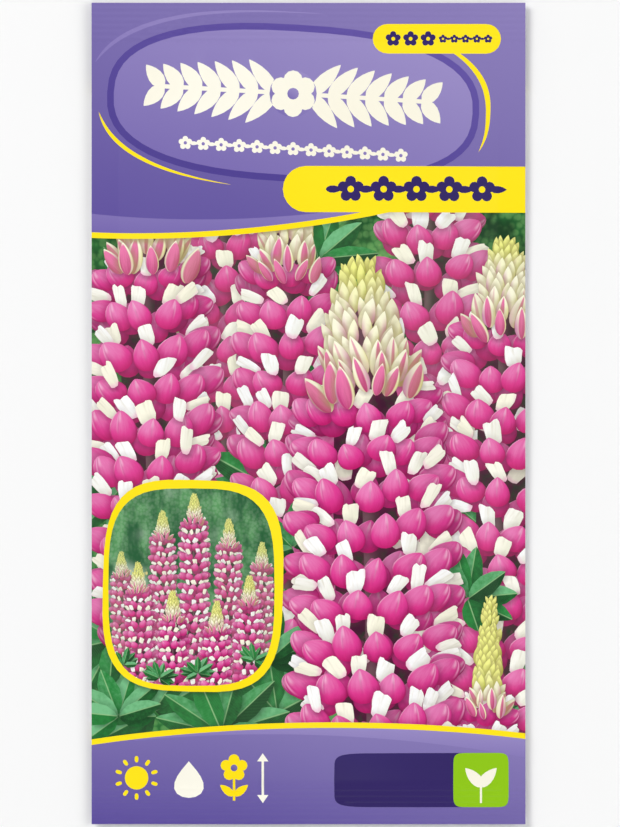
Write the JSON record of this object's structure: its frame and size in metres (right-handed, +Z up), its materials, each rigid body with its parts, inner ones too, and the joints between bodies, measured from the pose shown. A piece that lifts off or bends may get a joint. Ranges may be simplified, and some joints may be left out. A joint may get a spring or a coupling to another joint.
{
  "type": "seed packet",
  "caption": "Flat heat-sealed paper seed packet lying on its back, with a printed lupin front, a softly bulging pouch and loose seeds sealed inside.",
  "frame": {"origin": "centre of the bounding box's base, on the table under the middle of the packet", "axes": "+X across the packet to the right of its printed front, +Y to its top end, +Z up out of the printed front"},
  "size_m": [0.0844, 0.16, 0.0045],
  "materials": {
    "printed_front": "satin",
    "printed_back": "satin",
    "seed_coat": "satin"
  },
  "bodies": {
    "root": {"front_web": "printed_front", "back_web": "printed_back", "seed_01": "seed_coat", "seed_02": "seed_coat", "seed_03": "seed_coat", "seed_04": "seed_coat", "seed_05": "seed_coat", "seed_06": "seed_coat", "seed_07": "seed_coat", "seed_08": "seed_coat", "seed_09": "seed_coat", "seed_10": "seed_coat", "seed_11": "seed_coat", "seed_12": "seed_coat", "seed_13": "seed_coat", "seed_14": "seed_coat", "seed_15": "seed_coat", "seed_16": "seed_coat", "seed_17": "seed_coat", "seed_18": "seed_coat", "seed_19": "seed_coat", "seed_20": "seed_coat", "seed_21": "seed_coat", "seed_22": "seed_coat"}
  },
  "joints": []
}
